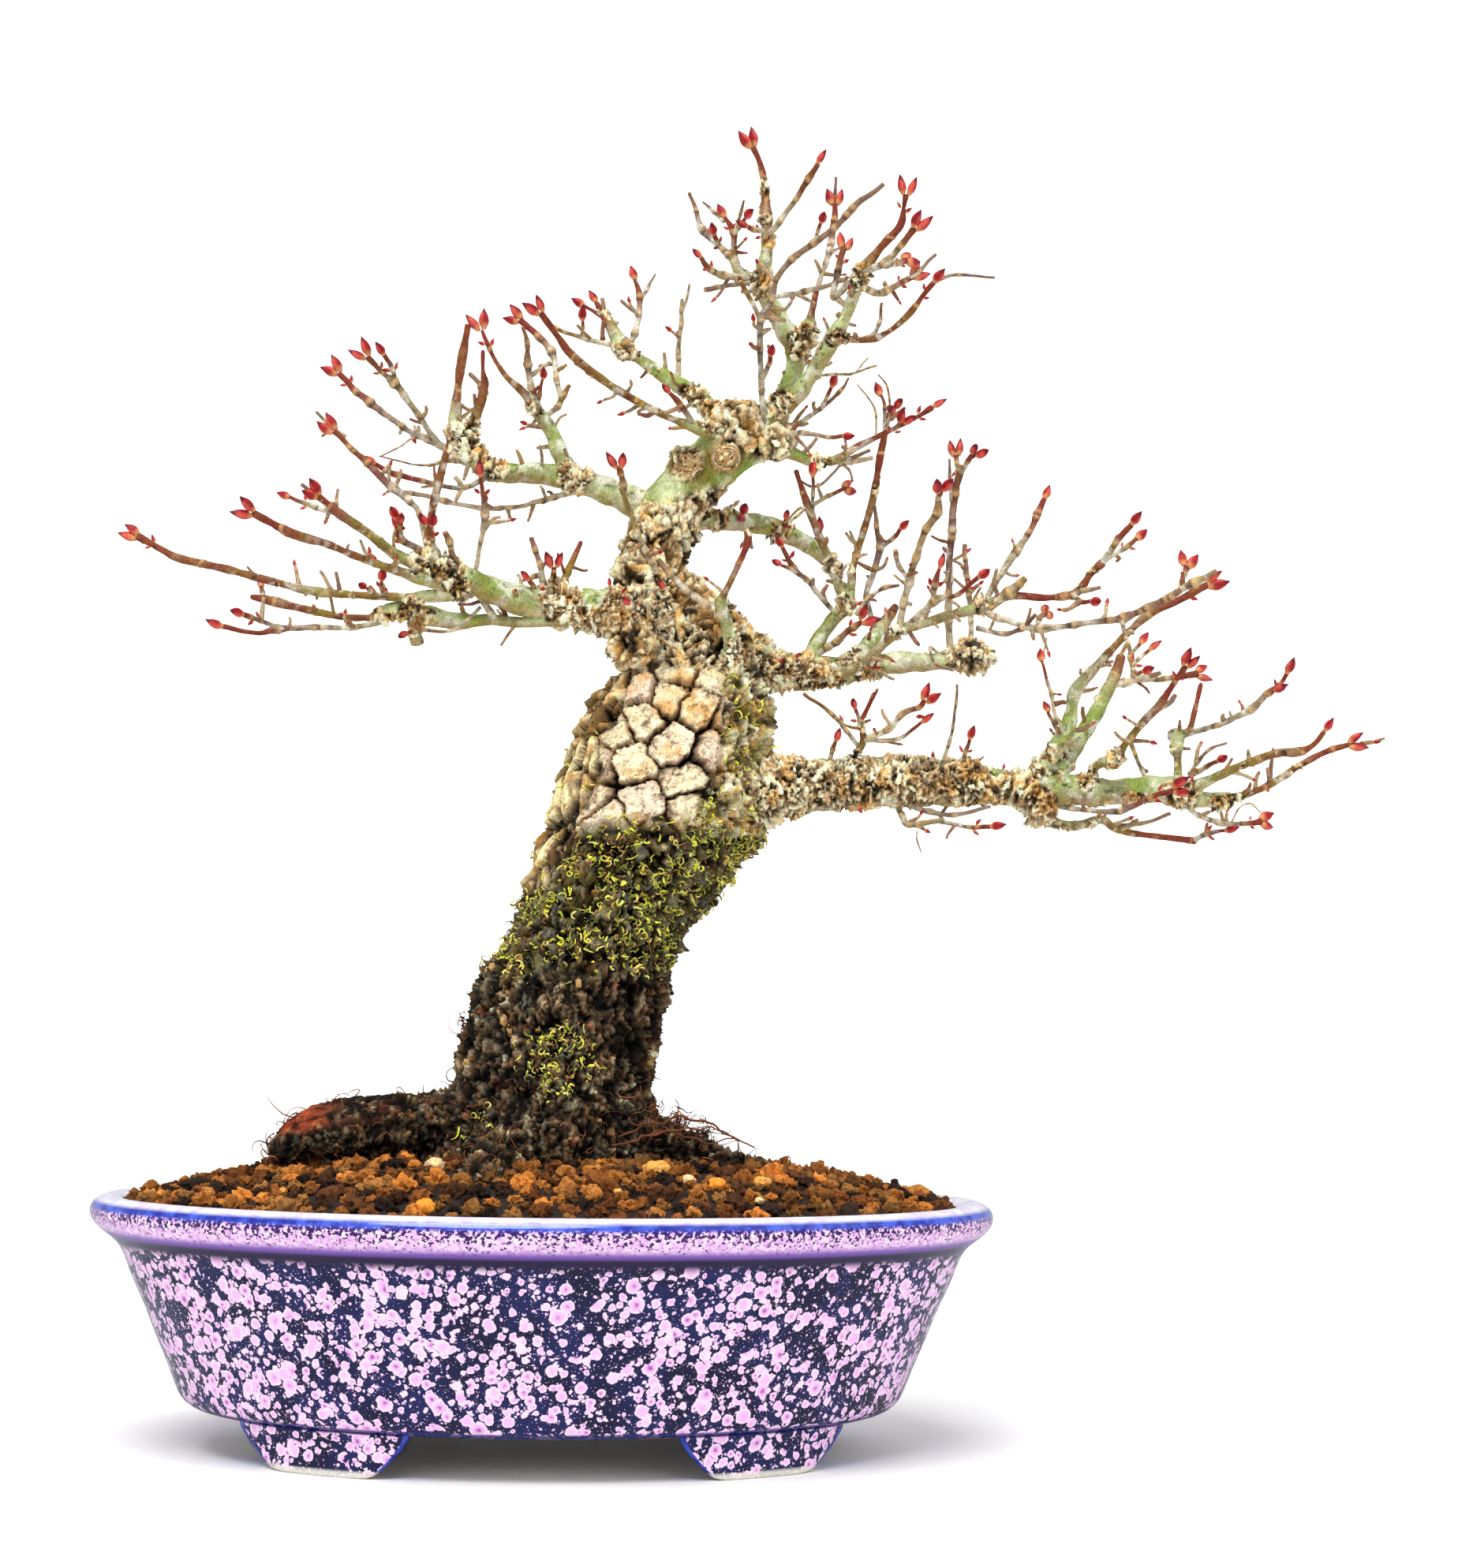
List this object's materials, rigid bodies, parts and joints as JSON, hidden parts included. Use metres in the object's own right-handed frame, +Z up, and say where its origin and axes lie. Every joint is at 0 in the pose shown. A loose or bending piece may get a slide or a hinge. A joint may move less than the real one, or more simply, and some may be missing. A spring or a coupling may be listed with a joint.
{
  "type": "bonsai tree in a pot",
  "caption": "Leafless winter maple bonsai with rough cracked bark, forked limbs and budded shoots, in an oval speckle-glazed pot with cloud feet.",
  "frame": {"origin": "middle of the bounding box on the plane the pot's feet stand on; the pot's own middle is 36 mm to the -X side of it, because the tree leans and reaches to +X", "axes": "+Z up; +X to the right as the tree's front is looked at, along the pot's length; +Y away from the viewer, to the tree's back"},
  "size_m": [0.2412, 0.126, 0.253],
  "materials": {
    "glaze": "glossy dark violet glaze crowded with pink crystal spots",
    "soil": "matt brown baked clay granules",
    "pumice": "matt cream pumice",
    "bark": "rough fissured bark with moss",
    "young_bark": "smooth grey-green bark with corky rings",
    "shoots": "smooth red-brown winter shoots with red buds",
    "netting": "black moulded netting",
    "clip_wire": "brown anodised wire"
  },
  "bodies": {
    "root": {"apex_leader": "shoots", "branch_left_under": "shoots", "branch_left_upright": "shoots", "branch_right_front": "shoots", "branch_right_middle": "shoots", "branch_right_uprights": "shoots", "drainage_mesh_left": "netting", "drainage_mesh_right": "netting", "limb_left_low": "young_bark", "limb_left_mid": "young_bark", "limb_right_back": "young_bark", "limb_right_high": "young_bark", "limb_right_low": "young_bark", "limb_right_mid": "young_bark", "limb_upper_left": "young_bark", "limb_upper_right": "young_bark", "mesh_clip_left": "clip_wire", "mesh_clip_right": "clip_wire", "pot": "glaze", "pumice_grain_1": "pumice", "pumice_grain_2": "pumice", "pumice_grain_3": "pumice", "pumice_grain_4": "pumice", "pumice_grain_5": "pumice", "pumice_grain_6": "pumice", "riser_front": "shoots", "shoot_left_long": "shoots", "shoot_trunk_left": "shoots", "shoot_trunk_right": "shoots", "soil_bed": "soil", "trunk_with_roots": "bark"}
  },
  "joints": []
}
